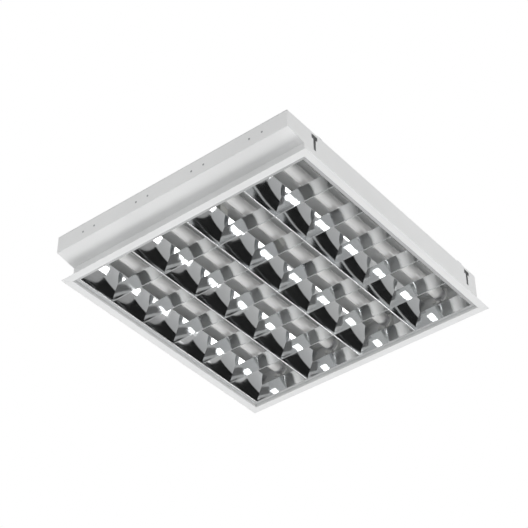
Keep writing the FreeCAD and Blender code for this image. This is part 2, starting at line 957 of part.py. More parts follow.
def lamp_tube(row, y):
    """Glass tube, necked down inside its caps."""
    outer = dim("tube_radius")
    neck = cap_radius - dim("cap_wall") - dim("neck_play")
    inset = dim("cap_length")
    neck_start = inset - dim("neck_length")
    long = rod("glass_outside", "x", (lamp_start + inset, y, lamp_z), lamp_length - inset * 2, outer)
    necks = rod("glass_necks", "x", (lamp_start + neck_start, y, lamp_z), lamp_length - neck_start * 2, neck)
    bore_start = lamp_start + inset + dim("glass")
    bore_length = lamp_end - inset - dim("glass") - bore_start
    bore = rod("glass_bore", "x", (bore_start, y, lamp_z), bore_length, outer - dim("glass"))
    mouth = rod("glass_mouths", "x", (lamp_start, y, lamp_z), lamp_length, neck - dim("glass"))
    name = f"lamp_tube_{row}"
    keep(name, cut(name, fused("glass_solid", [long, necks]), fused("glass_hollow", [bore, mouth])))


def lamp_caps(row, y):
    """The two metal end caps of one tube."""
    radius = cap_radius
    depth = dim("cap_length")
    face = dim("cap_face")
    inner = radius - dim("cap_wall")
    caps = []
    for start, inside in ((lamp_start, lamp_start + face), (lamp_end - depth, lamp_end - depth - CUT_PAST)):
        shell = rod("cap_shell", "x", (start, y, lamp_z), depth, radius)
        hollow = rod("cap_hollow", "x", (inside, y, lamp_z), depth - face + CUT_PAST, inner)
        caps.append(cut("cap", shell, hollow))
    name = f"lamp_caps_{row}"
    keep(name, group(name, caps))


def lamp_pins(row, y):
    """Two contact pins at each end, level with each other while the tube is locked in."""
    pins = []
    for start in (lamp_start - dim("pin_length"), lamp_end):
        for side in (-1, 1):
            place_y = y + dim("pin_spacing") / 2 * side
            pins.append(rod("pin", "x", (start, place_y, lamp_z), dim("pin_length"), dim("pin_radius")))
    name = f"lamp_pins_{row}"
    keep(name, group(name, pins))


def lamp_rotors(row, y):
    """Slotted rotors that turn with the tube's pins in the two lampholders."""
    radius = rotor_radius
    depth = rotor_depth
    half_slot = pin_slot / 2
    slot_depth = dim("pin_length")
    rotors = []
    ends = (
        (lamp_start - dim("lamp_gap") - depth, lamp_start - dim("lamp_gap") - slot_depth),
        (lamp_end + dim("lamp_gap"), lamp_end + dim("lamp_gap") - CUT_PAST),
    )
    for start, slot_start in ends:
        disc = rod("rotor_disc", "x", (start, y, lamp_z), depth, radius)
        slot = box(
            "rotor_slot",
            (slot_start, y - radius - CUT_PAST, lamp_z - half_slot),
            (slot_start + slot_depth + CUT_PAST, y + radius + CUT_PAST, lamp_z + half_slot),
        )
        rotors.append(cut("rotor", disc, slot))
    name = f"lamp_rotors_{row}"
    keep(name, group(name, rotors))


def lampholder(end, row, wall_x, y, turned):
    """Rotary lampholder: block with the rotor's bore, the pins' way in from below and a fixing ear."""
    name = f"lampholder_{end}_{row}"
    body = new_body(name)
    half = rotor_radius + dim("rotor_play") + dim("holder_side")
    above = holder_top - lamp_z
    below = rotor_radius + dim("rotor_play") + dim("holder_chin")
    depth = holder_depth
    block = sketch_on(body, "YZ_Plane")
    outline(
        block,
        [
            (-half, above),
            (-half, -below / 2),
            (-rotor_radius, -below),
            (rotor_radius, -below),
            (half, -below / 2),
            (half, above),
        ],
    )
    pad(body, block, depth)
    ear = sketch_on(body, "YZ_Plane")
    ear_half = dim("ear_half_height")
    low_corner = (-dim("peg_far") - ear_half, -dim("peg_drop") - ear_half)
    rectangle(ear, low_corner, (-half, -dim("peg_drop") + ear_half))
    pad(body, ear, dim("ear_depth"))
    bore = sketch_on(body, "YZ_Plane", depth)
    circle_in(bore, (0, 0), rotor_radius + dim("rotor_play"))
    pocket(body, bore, rotor_depth + dim("lamp_gap"))
    way_in = sketch_on(body, "YZ_Plane", depth)
    rectangle(way_in, (-pin_slot / 2, -below - CUT_PAST), (pin_slot / 2, 0))
    pocket(body, way_in, rotor_depth + dim("lamp_gap"))
    turn = FreeCAD.Rotation(FreeCAD.Vector(0, 0, 1), 180) if turned else None
    keep(name, place(body, (wall_x, y, lamp_z), turn))


def holder_pegs(end, wall_x, side):
    """Snap pegs that hold the lampholders through the end wall, with their heads outside."""
    pegs = []
    cap = dim("sheet")
    shank_start = wall_x if side > 0 else wall_x - dim("sheet")
    head_start = wall_x + dim("sheet") if side > 0 else wall_x - dim("sheet") - cap
    for y in row_places:
        for offset in (dim("peg_near"), -dim("peg_far")):
            place_y = y - offset * side
            height = lamp_z - dim("peg_drop")
            shank = rod("peg_shank", "x", (shank_start, place_y, height), dim("sheet"), dim("peg_radius"))
            disc = rod("peg_disc", "x", (head_start, place_y, height), cap, peg_head)
            pegs.append(fused("peg", [shank, disc]))
    name = f"holder_pegs_{end}"
    keep(name, group(name, pegs))


def ballast():
    """Control gear: tray on the roof, cover under it, a terminal strip at each end and two screws."""
    half = dim("ballast_width") / 2
    low = roof_in - dim("ballast_height")
    wall = dim("ballast_sheet")
    foot = dim("gear_foot")
    start_y = gear_y - half
    stop_y = gear_y + half
    tray_low = (terminal_start - foot, start_y, tray_under)
    tray_block = box("tray_block", tray_low, (terminal_end + foot, stop_y, roof_in))
    holes = []
    deep = dim("tray_sheet") + CUT_PAST * 2
    for x in screw_places:
        holes.append(rod("tray_hole", "z", (x, gear_y, tray_under - CUT_PAST), deep, dim("screw_radius")))
    keep("ballast_tray", cut("ballast_tray", tray_block, fused("tray_holes", holes)))

    shell = box("cover_shell", (gear_start, start_y, low), (gear_end, stop_y, tray_under))
    room = box(
        "cover_room",
        (gear_start + wall, start_y + wall, low + wall),
        (gear_end - wall, stop_y - wall, tray_under + CUT_PAST),
    )
    keep("ballast_cover", cut("ballast_cover", shell, room))

    strip_low = tray_under - dim("gear_terminal_height")
    strips = []
    for start, stop in ((terminal_start, gear_start), (gear_end, terminal_end)):
        strips.append(box("strip", (start, start_y + wall, strip_low), (stop, stop_y - wall, tray_under)))
    keep("ballast_terminals", group("ballast_terminals", strips))

    screws = []
    thick = dim("screw_radius")
    thread = thick - dim("screw_play")
    for x in screw_places:
        shank = rod("screw_shank", "z", (x, gear_y, tray_under), roof_top - tray_under, thread)
        head = rod("screw_head", "z", (x, gear_y, tray_under - thick), thick, dim("screw_head"))
        screws.append(fused("screw", [shank, head]))
    keep("ballast_screws", group("ballast_screws", screws))


def mains_terminal_block():
    """Three-pole terminal block on the roof, with its clamp screws."""
    half = dim("block_width") / 2
    low = roof_in - dim("block_height")
    block = box("block", (block_start, block_y - half, low), (block_end, block_y + half, roof_in))
    wells = []
    screws = []
    depth = dim("well_depth")
    radius = dim("screw_head")
    thick = dim("screw_radius")
    for pole in (-1, 0, 1):
        y = block_y + dim("block_width") / 3 * pole
        wells.append(rod("well", "z", (block_x, y, low - CUT_PAST), depth + CUT_PAST, radius))
        screw_start = (block_x, y, low + depth - thick)
        screws.append(rod("clamp_screw", "z", screw_start, thick, radius - dim("screw_play")))
    keep("mains_terminal_block", cut("mains_terminal_block", block, fused("wells", wells)))
    keep("terminal_screws", group("terminal_screws", screws))


def earth_stud():
    """Earth stud with its nut, under the roof."""
    radius = dim("stud_radius")
    x = block_end + dim("stud_gap")
    length = dim("stud_length")
    shank = rod("stud_shank", "z", (x, block_y, roof_in - length), length, radius)
    nut = doc.addObject("Part::Prism", "stud_nut")
    nut.Polygon = 6
    bind(nut, "Circumradius", radius * 2)
    bind(nut, "Height", radius * 2)
    place(nut, (x, block_y, roof_in - radius * 2))
    keep("earth_stud", fused("earth_stud", [shank, nut]))


def cable_grommet():
    """Rubber grommet in the roof, where the mains cable comes in."""
    centre = (grommet_x, block_y)
    lip = dim("grommet_lip")
    rim = grommet_hole + dim("grommet_flange")
    thick = dim("sheet") + lip * 2
    upper = rod("grommet_upper", "z", (*centre, roof_top), lip, rim)
    lower = rod("grommet_lower", "z", (*centre, roof_in - lip), lip, rim)
    sleeve = rod("grommet_sleeve", "z", (*centre, roof_in - lip), thick, grommet_hole)
    bore_start = (*centre, roof_in - lip - CUT_PAST)
    bore = rod("grommet_bore", "z", bore_start, thick + CUT_PAST * 2, dim("grommet_bore"))
    keep("cable_grommet", cut("cable_grommet", fused("grommet_solid", [upper, lower, sleeve]), bore))


def wiring():
    """Looms along both end walls, leads to the control gear and the saddles that hold them to the roof."""
    reach = row_places[-1] + dim("loom_tail")
    radius = dim("loom_radius")
    saddles = []
    for end, x in loom_places.items():
        pieces = [rod("loom_run", "y", (x, -reach, loom_z), reach * 2, radius)]
        for y in row_places:
            pieces.append(rod("loom_tap", "z", (x, y, holder_top), loom_z - holder_top, dim("mains_radius")))
        keep(f"loom_{end}", fused(f"loom_{end}", pieces))
        for between in range(ROWS - 1):
            y = row_pitch * (between + 1 - ROWS / 2) - dim("loom_tail")
            saddles.append(saddle(x, y, "y", radius, tab_under))

    lead = dim("lead_radius")
    lead_y = gear_y + dim("lead_from_screw")
    tray_ends = (terminal_start - dim("gear_foot"), terminal_end + dim("gear_foot"))
    stepped_start = loom_places["stepped"] + radius
    flat_stop = loom_places["flat"] - radius
    leads = [
        rod("lead_stepped", "x", (stepped_start, lead_y, loom_z), terminal_start - stepped_start, lead),
        rod("lead_flat", "x", (terminal_end, lead_y, loom_z), flat_stop - terminal_end, lead),
    ]
    keep("ballast_leads", group("ballast_leads", leads))
    saddles.append(saddle((stepped_start + tray_ends[0]) / 2, lead_y, "x", lead, roof_in))
    saddles.append(saddle((tray_ends[1] + flat_stop) / 2, lead_y, "x", lead, roof_in))
    keep("loom_saddles", group("loom_saddles", saddles))

    wires = []
    wire_z = tray_under - dim("gear_terminal_height") / 2
    wire_start = block_y + dim("block_width") / 2
    wire_stop = gear_y - dim("ballast_width") / 2 + dim("ballast_sheet")
    for pole in (-1, 0, 1):
        start = (block_x + dim("mains_pitch") * pole, wire_start, wire_z)
        wires.append(rod("mains_wire", "y", start, wire_stop - wire_start, dim("mains_radius")))
    keep("mains_leads", group("mains_leads", wires))


def saddle(x, y, axis, radius, top):
    """A small block that grips a wire and hangs from the sheet above it."""
    half = radius + dim("sheet")
    block = box("saddle_block", (x - half, y - half, loom_z - half), (x + half, y + half, top))
    start = (x, y - half - CUT_PAST, loom_z) if axis == "y" else (x - half - CUT_PAST, y, loom_z)
    return cut("saddle", block, rod("saddle_hole", axis, start, half * 2 + CUT_PAST * 2, radius))


def build():
    housing_body()
    end_wall_stepped()
    end_neck_stepped()
    end_wall_flat()
    suspension_lugs()
    ballast()
    mains_terminal_block()
    earth_stud()
    cable_grommet()
    wiring()
    for row, y in enumerate(row_places, 1):
        lampholder("stepped", row, -inner_step, y, False)
        lampholder("flat", row, inner_x, y, True)
        lamp_tube(row, y)
        lamp_caps(row, y)
        lamp_pins(row, y)
        lamp_rotors(row, y)
    holder_pegs("stepped", -inner_step, -1)
    holder_pegs("flat", inner_x, 1)
    side_reflector("side_reflector_hinged", -1, True)
    side_reflector("side_reflector_free", 1, False)
    end_reflector("end_reflector_stepped", -1)
    end_reflector("end_reflector_flat", 1)
    for number in range(1, ROWS):
        middle_reflector(number)
    for number in range(1, CELLS):
        cross_blades(number)
    louvre_hinge_lugs()
    hinge_wires()
    keep("hinge_brackets", group("hinge_brackets", [hinge_bracket(middle) for middle in hinge_places]))
    keep("louvre_clips", group("louvre_clips", [louvre_clip(middle) for middle in hinge_places]))


def check_and_export():
    """Stops on any failed object or shape, then writes one file for each sub-part."""
    doc.recompute()
    for thing in doc.Objects:
        if {"Invalid", "Error"} & set(thing.State):
            raise RuntimeError(f"{thing.Label} did not compute: {thing.State}")
    for name, thing in nodes.items():
        if thing.Shape.isNull() or not thing.Shape.isValid() or not thing.Shape.Solids:
            raise RuntimeError(f"{name} has no valid solid")
    os.makedirs("parts", exist_ok=True)
    for name, thing in nodes.items():
        thing.Shape.exportStep(f"parts/{name}.step")
    print(len(nodes), "sub-parts,", sum(len(thing.Shape.Solids) for thing in nodes.values()), "solids")


build()
check_and_export()
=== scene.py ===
from math import atan2, cos, hypot, pi, radians, sin, sqrt

import bmesh
import bpy
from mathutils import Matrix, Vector


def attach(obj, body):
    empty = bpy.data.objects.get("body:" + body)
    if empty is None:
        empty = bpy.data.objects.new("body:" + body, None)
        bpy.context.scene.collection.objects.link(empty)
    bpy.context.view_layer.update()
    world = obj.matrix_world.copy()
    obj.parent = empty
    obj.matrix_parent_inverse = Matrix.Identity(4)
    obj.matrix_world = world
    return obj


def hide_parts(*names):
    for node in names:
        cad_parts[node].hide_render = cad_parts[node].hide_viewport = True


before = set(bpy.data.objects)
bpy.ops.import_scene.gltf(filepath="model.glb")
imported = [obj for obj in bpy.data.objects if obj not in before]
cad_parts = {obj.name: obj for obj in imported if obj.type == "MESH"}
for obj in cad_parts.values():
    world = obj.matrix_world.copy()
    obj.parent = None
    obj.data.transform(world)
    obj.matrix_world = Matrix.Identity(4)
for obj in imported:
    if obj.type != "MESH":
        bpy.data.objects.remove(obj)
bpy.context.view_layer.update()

mm = 0.001

# Camera: below the light and outside its near corner, where the stepped end meets the slotted long wall.
# The place and the lens were fitted to the straight edges of the photograph.
bpy.ops.object.camera_add(
    location=(-1.91449, -1.48379, -1.87607),
    rotation=(radians(128.88722), radians(0.29815), radians(-51.35765)),
)
camera = bpy.context.object
camera.data.sensor_width = 36
camera.data.lens = 106.974
camera.data.clip_start = 0.05
camera.data.clip_end = 100
bpy.context.scene.camera = camera

# Housing body: roof, two long walls and their trim flanges, folded from one steel sheet and powder coated
# satin white. The sheet starts as the roof's underside, is folded down and out, and then gets its thickness.
sheet = 0.7 * mm
roof_under = 79.3 * mm
wall_inside = 281.3 * mm
flange_edge = 297.5 * mm
step_end = 329 * mm
step_foot = 33 * mm
step_head = 41 * mm
step_run = 47 * mm
neck_face = 282 * mm
fold_inside = 1.3 * mm
flange_fold = 0.9 * mm
edge_ease = 0.12 * mm
slot_places = (-250 * mm, 250 * mm)
slot_cut = 0.29
slot_head_half, slot_head_low, slot_head_high = 8.5 * mm, 63.5 * mm, 73.5 * mm
slot_stem_half, slot_stem_low, slot_stem_high = 3.5 * mm, 37.5 * mm, 65 * mm
hole_start = 78 * mm
hole_depth = 4 * mm
hanger_hole_radius = 2.6 * mm
cable_hole_radius = 8 * mm


def flat_piece(name, low_x, high_x, low_y, high_y, height):
    """A flat rectangle at its size and place, as the start of a folded sheet."""
    bpy.ops.object.select_all(action="DESELECT")
    bpy.ops.mesh.primitive_plane_add(size=1)
    piece = bpy.context.object
    piece.name = piece.data.name = name
    bpy.ops.object.mode_set(mode="EDIT")
    bpy.ops.transform.resize(value=(high_x - low_x, high_y - low_y, 1))
    bpy.ops.transform.translate(value=((low_x + high_x) / 2, (low_y + high_y) / 2, height))
    return piece


def pick(piece, kind, wanted):
    """Selects the corners, edges or faces whose middle is wanted."""
    bpy.ops.mesh.select_mode(type=kind)
    bpy.ops.mesh.select_all(action="DESELECT")
    mesh = bmesh.from_edit_mesh(piece.data)
    for part in {"VERT": mesh.verts, "EDGE": mesh.edges, "FACE": mesh.faces}[kind]:
        corners = [part.co] if kind == "VERT" else [corner.co for corner in part.verts]
        if wanted(sum(corners, Vector()) / len(corners)):
            part.select_set(True)
    mesh.select_flush_mode()
    bmesh.update_edit_mesh(piece.data)


def near(a, b, reach=0.02 * mm):
    return abs(a - b) < reach


def fold_out(move):
    """Folds a new strip out of the selected edge."""
    bpy.ops.mesh.extrude_region_move(TRANSFORM_OT_translate={"value": move})


def round_folds(piece, wanted, radius, turn=90, segments=6):
    """Gives the wanted fold lines their bend radius."""
    pick(piece, "EDGE", wanted)
    offset = radius * abs(sin(radians(turn) / 2) / cos(radians(turn) / 2))
    bpy.ops.mesh.bevel(offset=offset, offset_type="OFFSET", segments=segments, affect="EDGES")


def apply_modifier(piece, kind, **settings):
    bpy.ops.object.select_all(action="DESELECT")
    piece.select_set(True)
    bpy.context.view_layer.objects.active = piece
    modifier = piece.modifiers.new(kind.lower(), kind)
    for key, value in settings.items():
        setattr(modifier, key, value)
    bpy.ops.object.modifier_apply(modifier=modifier.name)


def thicken(piece, thickness, offset):
    bpy.ops.object.mode_set(mode="OBJECT")
    apply_modifier(piece, "SOLIDIFY", thickness=thickness, offset=offset, use_even_offset=True)


def ease_edges(piece, width, segments=1, angle=35):
    """Takes the sharpness off the edges, and lets flat faces stay flat in the light."""
    apply_modifier(
        piece, "BEVEL", width=width, segments=segments, limit_method="ANGLE", angle_limit=radians(angle)
    )
    bpy.ops.object.shade_smooth_by_angle(angle=radians(angle))
    apply_modifier(piece, "WEIGHTED_NORMAL", keep_sharp=True, weight=100)


def punch(piece, cutter):
    """Cuts the cutter's shape out of the piece and throws the cutter away."""
    apply_modifier(piece, "BOOLEAN", object=cutter, operation="DIFFERENCE", solver="EXACT")
    bpy.data.objects.remove(cutter)


def block(name, low, high):
    """A block between two corners."""
    bpy.ops.object.select_all(action="DESELECT")
    bpy.ops.mesh.primitive_cube_add(size=1)
    piece = bpy.context.object
    piece.name = piece.data.name = name
    bpy.ops.object.mode_set(mode="EDIT")
    bpy.ops.transform.resize(value=[b - a for a, b in zip(low, high)])
    bpy.ops.transform.translate(value=[(a + b) / 2 for a, b in zip(low, high)])
    return piece


def rod(name, start, length, radius, axis="x", sides=32):
    """A round bar from its start centre along +axis."""
    bpy.ops.object.select_all(action="DESELECT")
    turn = {"x": (0, pi / 2, 0), "y": (-pi / 2, 0, 0), "z": (0, 0, 0)}[axis]
    along = Vector([float(axis == letter) for letter in "xyz"])
    middle = Vector(start) + along * length / 2
    bpy.ops.mesh.primitive_cylinder_add(
        vertices=sides, radius=radius, depth=length, location=middle, rotation=turn
    )
    piece = bpy.context.object
    piece.name = piece.data.name = name
    bpy.ops.object.transform_apply(location=True, rotation=True, scale=True)
    bpy.ops.object.mode_set(mode="EDIT")
    bpy.ops.mesh.select_all(action="DESELECT")
    return piece


def as_one(name, pieces):
    """Joins several pieces into one object."""
    bpy.ops.object.select_all(action="DESELECT")
    for piece in pieces:
        piece.select_set(True)
    bpy.context.view_layer.objects.active = pieces[0]
    bpy.ops.object.join()
    pieces[0].name = pieces[0].data.name = name
    return pieces[0]


def finish_for(name):
    """An empty material with its shader, output and object coordinates."""
    material = bpy.data.materials.new(name)
    material.use_nodes = True
    tree = material.node_tree
    shader = tree.nodes["Principled BSDF"]
    place = tree.nodes.new("ShaderNodeTexCoord")
    return material, tree, shader, place.outputs["Object"]


def stretched(tree, place, scale):
    """Object coordinates stretched by direction, for a grain that runs one way."""
    mapping = tree.nodes.new("ShaderNodeMapping")
    mapping.inputs["Scale"].default_value = scale
    tree.links.new(place, mapping.inputs["Vector"])
    return mapping.outputs["Vector"]


def cloudy(tree, place, scale, detail=2, roughness=0.5):
    """Soft noise, for colour and gloss that vary a little and for uneven surfaces."""
    noise = tree.nodes.new("ShaderNodeTexNoise")
    noise.inputs["Scale"].default_value = scale
    noise.inputs["Detail"].default_value = detail
    noise.inputs["Roughness"].default_value = roughness
    tree.links.new(place, noise.inputs["Vector"])
    return noise.outputs["Fac"]


def shades(tree, amount, dark, light):
    """Turns a noise into a colour between two shades."""
    ramp = tree.nodes.new("ShaderNodeValToRGB")
    ramp.color_ramp.elements[0].position = 0.3
    ramp.color_ramp.elements[1].position = 0.7
    ramp.color_ramp.elements[0].color = (*dark, 1)
    ramp.color_ramp.elements[1].color = (*light, 1)
    tree.links.new(amount, ramp.inputs["Fac"])
    return ramp.outputs["Color"]


def coloured(tree, shader, amount, dark, light):
    """Colours the shader between two shades."""
    tree.links.new(shades(tree, amount, dark, light), shader.inputs["Base Color"])


def between(tree, amount, low, high):
    """Turns a noise into a number between two others."""
    spread = tree.nodes.new("ShaderNodeMapRange")
    spread.inputs["From Min"].default_value = 0.3
    spread.inputs["From Max"].default_value = 0.7
    spread.inputs["To Min"].default_value = low
    spread.inputs["To Max"].default_value = high
    tree.links.new(amount, spread.inputs["Value"])
    return spread.outputs["Result"]


def dents(tree, shader, layers):
    """Bumps laid over each other: each layer is a noise, its depth in metres and its strength."""
    under = None
    for amount, depth, strength in layers:
        bump = tree.nodes.new("ShaderNodeBump")
        bump.inputs["Distance"].default_value = depth
        bump.inputs["Strength"].default_value = strength
        tree.links.new(amount, bump.inputs["Height"])
        if under is not None:
            tree.links.new(under, bump.inputs["Normal"])
        under = bump.outputs["Normal"]
    tree.links.new(under, shader.inputs["Normal"])


# The powder coat: a satin white with a fine orange peel, and a little more or less gloss from place to place.
powder_white, tree, shader, place = finish_for("satin_white_powder_coat")
coloured(tree, shader, cloudy(tree, place, 9, 3), (0.80, 0.805, 0.805), (0.84, 0.845, 0.845))
tree.links.new(between(tree, cloudy(tree, place, 140, 2), 0.36, 0.44), shader.inputs["Roughness"])
shader.inputs["Specular IOR Level"].default_value = 0.4
peel = cloudy(tree, place, 700, 1)
sheet_waves = cloudy(tree, place, 7, 1)
dents(tree, shader, [(sheet_waves, 0.6 * mm, 0.25), (peel, 0.03 * mm, 0.35)])

housing = flat_piece("housing_sheet", -step_end, wall_inside, -wall_inside, wall_inside, roof_under)
for side in (-1, 1):
    pick(housing, "EDGE", lambda middle: near(middle.y, wall_inside * side) and near(middle.z, roof_under))
    fold_out((0, 0, -roof_under))
    fold_out((0, (flange_edge - wall_inside) * side, 0))
pick(housing, "FACE", lambda middle: middle.z < roof_under - mm)
bpy.ops.mesh.bisect(plane_co=(-wall_inside, 0, 0), plane_no=(1, 0, 0))
pick(housing, "FACE", lambda middle: middle.x < -wall_inside and middle.z < roof_under - mm)
bpy.ops.mesh.bisect(plane_co=(-neck_face, 0, step_foot), plane_no=(step_head - step_foot, 0, step_run))
pick(housing, "FACE", lambda middle: middle.x < -wall_inside and middle.z < step_foot)
bpy.ops.mesh.delete(type="FACE")
pick(housing, "VERT", lambda middle: near(abs(middle.y), flange_edge))
bpy.ops.transform.resize(value=(flange_edge / wall_inside, 1, 1), center_override=(0, 0, 0))
for height, radius in ((roof_under, fold_inside), (0, flange_fold)):
    round_folds(housing, lambda middle: near(abs(middle.y), wall_inside) and near(middle.z, height), radius)
thicken(housing, sheet, 1)

slot_heads = []
slot_stems = []
for x in slot_places:
    low = (x - slot_head_half, -slot_cut, slot_head_low)
    slot_heads.append(block("slot_head", low, (x + slot_head_half, slot_cut, slot_head_high)))
    bpy.ops.object.mode_set(mode="OBJECT")
    low = (x - slot_stem_half, -slot_cut, slot_stem_low)
    slot_stems.append(block("slot_stem", low, (x + slot_stem_half, slot_cut, slot_stem_high)))
    bpy.ops.object.mode_set(mode="OBJECT")
for x in (-180 * mm, 180 * mm):
    for y in (-265 * mm, 265 * mm):
        slot_heads.append(rod("hanger_hole", (x, y, hole_start), hole_depth, hanger_hole_radius, "z", 24))
        bpy.ops.object.mode_set(mode="OBJECT")
cable_place = (-223.5 * mm, -16 * mm, hole_start)
slot_heads.append(rod("cable_hole", cable_place, hole_depth, cable_hole_radius, "z", 40))
bpy.ops.object.mode_set(mode="OBJECT")
punch(housing, as_one("slot_heads", slot_heads))
punch(housing, as_one("slot_stems", slot_stems))
ease_edges(housing, edge_ease)
housing.data.materials.append(powder_white)
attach(housing, "housing")
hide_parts("housing_body")

# Stepped end wall: neck, sloping shelf and outer wall folded from a second sheet, which reaches out over the
# ceiling grid so that the tubes fit. Its ends turn in as tabs that lie against the long walls.
wall_end = 281.15 * mm
mitre_edge = 297.35 * mm
neck_height = 33.59 * mm
shelf_rise = 8 * mm
outer_height = 37.01 * mm
outer_inside = 328.3 * mm
outer_foot = 41.59 * mm
wall_head = 78.6 * mm
tab = 12 * mm
below_head = 78 * mm
head_fold = 1.1 * mm
stepped = flat_piece("stepped_end_sheet", -flange_edge, -wall_inside, -wall_end, wall_end, 0)
pick(stepped, "VERT", lambda middle: near(middle.x, -flange_edge))
bpy.ops.transform.resize(value=(1, mitre_edge / wall_end, 1), center_override=(0, 0, 0))
pick(stepped, "EDGE", lambda middle: near(middle.x, -wall_inside))
fold_out((0, 0, neck_height))
fold_out((-step_run, 0, shelf_rise))
fold_out((0, 0, outer_height))
fold_out((tab, 0, 0))
for side in (-1, 1):
    pick(
        stepped,
        "EDGE",
        lambda middle: near(middle.x, -outer_inside)
        and near(middle.y, wall_end * side)
        and middle.z < below_head,
    )
    fold_out((tab, 0, 0))
    bpy.ops.transform.resize(value=(1, 1, 0.86))
round_folds(
    stepped,
    lambda middle: near(middle.x, -wall_inside) and near(middle.z, 0) and abs(middle.y) < 0.28,
    flange_fold,
)
for x, height, radius, turn in (
    (wall_inside, neck_height, 1.2 * mm, 80),
    (outer_inside, outer_foot, 1.3 * mm, 80),
    (outer_inside, wall_head, head_fold, 90),
):
    round_folds(stepped, lambda middle: near(middle.x, -x) and near(middle.z, height), radius, turn)
thicken(stepped, sheet, 1)
ease_edges(stepped, edge_ease)
stepped.data.materials.append(powder_white)
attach(stepped, "housing")
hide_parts("end_wall_stepped", "end_neck_stepped")

# Flat end wall: the plain upright end, folded from a third sheet, with tabs like those of the stepped end.
flat_end = flat_piece("flat_end_sheet", wall_inside, flange_edge, -wall_end, wall_end, 0)
pick(flat_end, "VERT", lambda middle: near(middle.x, flange_edge))
bpy.ops.transform.resize(value=(1, mitre_edge / wall_end, 1), center_override=(0, 0, 0))
pick(flat_end, "EDGE", lambda middle: near(middle.x, wall_inside))
fold_out((0, 0, wall_head))
fold_out((-tab, 0, 0))
for side in (-1, 1):
    pick(
        flat_end,
        "EDGE",
        lambda middle: near(middle.x, wall_inside)
        and near(middle.y, wall_end * side)
        and mm < middle.z < below_head,
    )
    fold_out((-tab, 0, 0))
    bpy.ops.transform.resize(value=(1, 1, 0.5))
    bpy.ops.transform.translate(value=(0, 0, 18 * mm))
for height, radius in ((0, flange_fold), (wall_head, head_fold)):
    round_folds(flat_end, lambda middle: near(middle.x, wall_inside) and near(middle.z, height), radius)
thicken(flat_end, sheet, 1)
ease_edges(flat_end, edge_ease)
flat_end.data.materials.append(powder_white)
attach(flat_end, "housing")
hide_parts("end_wall_flat")

# Control gear, terminals, earth stud and saddles under the roof, lugs on it, and the brackets, wires and
# clips that hold the louvre: zinc plated steel parts and moulded plastic blocks, with their edges eased.
zinc_plate, tree, shader, place = finish_for("bright_zinc_plate")
coloured(tree, shader, cloudy(tree, place, 60, 3), (0.56, 0.57, 0.59), (0.67, 0.68, 0.69))
tree.links.new(between(tree, cloudy(tree, place, 220, 3), 0.24, 0.4), shader.inputs["Roughness"])
shader.inputs["Metallic"].default_value = 1
dents(tree, shader, [(cloudy(tree, stretched(tree, place, (1, 30, 1)), 120, 2), 0.02 * mm, 0.3)])

pale_moulding, tree, shader, place = finish_for("pale_terminal_plastic")
coloured(tree, shader, cloudy(tree, place, 80, 2), (0.81, 0.81, 0.77), (0.85, 0.85, 0.82))
tree.links.new(between(tree, cloudy(tree, place, 300, 2), 0.45, 0.6), shader.inputs["Roughness"])
dents(tree, shader, [(cloudy(tree, place, 1500, 2), 0.02 * mm, 0.4)])


def softened(node, finish, body, width, segments=2):
    """A merged copy of a plain CAD piece with eased edges, which stands for it."""
    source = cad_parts[node]
    piece = bpy.data.objects.new(node + "_piece", source.data.copy())
    bpy.context.scene.collection.objects.link(piece)
    bpy.ops.object.select_all(action="DESELECT")
    piece.select_set(True)
    bpy.context.view_layer.objects.active = piece
    bpy.ops.object.mode_set(mode="EDIT")
    bpy.ops.mesh.select_all(action="SELECT")
    bpy.ops.mesh.remove_doubles(threshold=0.002 * mm)
    bpy.ops.mesh.dissolve_limited(angle_limit=radians(2))
    bpy.ops.object.mode_set(mode="OBJECT")
    ease_edges(piece, width, segments)
    piece.data.materials.clear()
    piece.data.materials.append(finish)
    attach(piece, body)
    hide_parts(node)


for node in (
    "ballast_tray",
    "ballast_cover",
    "ballast_screws",
    "terminal_screws",
    "earth_stud",
    "suspension_lugs",
):
    softened(node, zinc_plate, "housing", 0.25 * mm)
for node in ("hinge_brackets", "hinge_wires", "louvre_clips", "loom_saddles"):
    softened(node, zinc_plate, "housing", 0.15 * mm)
for node in ("mains_terminal_block", "ballast_terminals"):
    softened(node, pale_moulding, "housing", 0.4 * mm)

# Cable grommet: a soft black rubber ring round the hole in the roof where the mains cable comes in.
grommet_rubber, tree, shader, place = finish_for("black_grommet_rubber")
coloured(tree, shader, cloudy(tree, place, 200, 3), (0.012, 0.012, 0.012), (0.03, 0.03, 0.03))
tree.links.new(between(tree, cloudy(tree, place, 500, 2), 0.55, 0.75), shader.inputs["Roughness"])
dents(tree, shader, [(cloudy(tree, place, 1200, 2), 0.03 * mm, 0.4)])
softened("cable_grommet", grommet_rubber, "housing", 0.5 * mm, 3)

# Wiring: looms along both ends, leads to the control gear and from the terminal block, in pale PVC sleeving.
wire_sleeving, tree, shader, place = finish_for("pale_wire_sleeving")
coloured(tree, shader, cloudy(tree, place, 90, 2), (0.74, 0.74, 0.72), (0.8, 0.8, 0.78))
tree.links.new(between(tree, cloudy(tree, place, 400, 2), 0.3, 0.42), shader.inputs["Roughness"])
dents(tree, shader, [(cloudy(tree, place, 900, 2), 0.02 * mm, 0.3)])
for node in ("loom_stepped", "loom_flat", "ballast_leads", "mains_leads"):
    softened(node, wire_sleeving, "housing", 0.1 * mm, 1)

# Lampholders: white moulded blocks that snap into the end walls, each with a bore for its rotor, the way in
# for the pins from below, and an ear for the second peg. The pegs' grey heads show outside the walls.
white_moulding, tree, shader, place = finish_for("white_holder_plastic")
coloured(tree, shader, cloudy(tree, place, 70, 2), (0.86, 0.86, 0.84), (0.9, 0.9, 0.88))
tree.links.new(between(tree, cloudy(tree, place, 300, 2), 0.22, 0.34), shader.inputs["Roughness"])
dents(tree, shader, [(cloudy(tree, place, 1500, 2), 0.015 * mm, 0.3)])

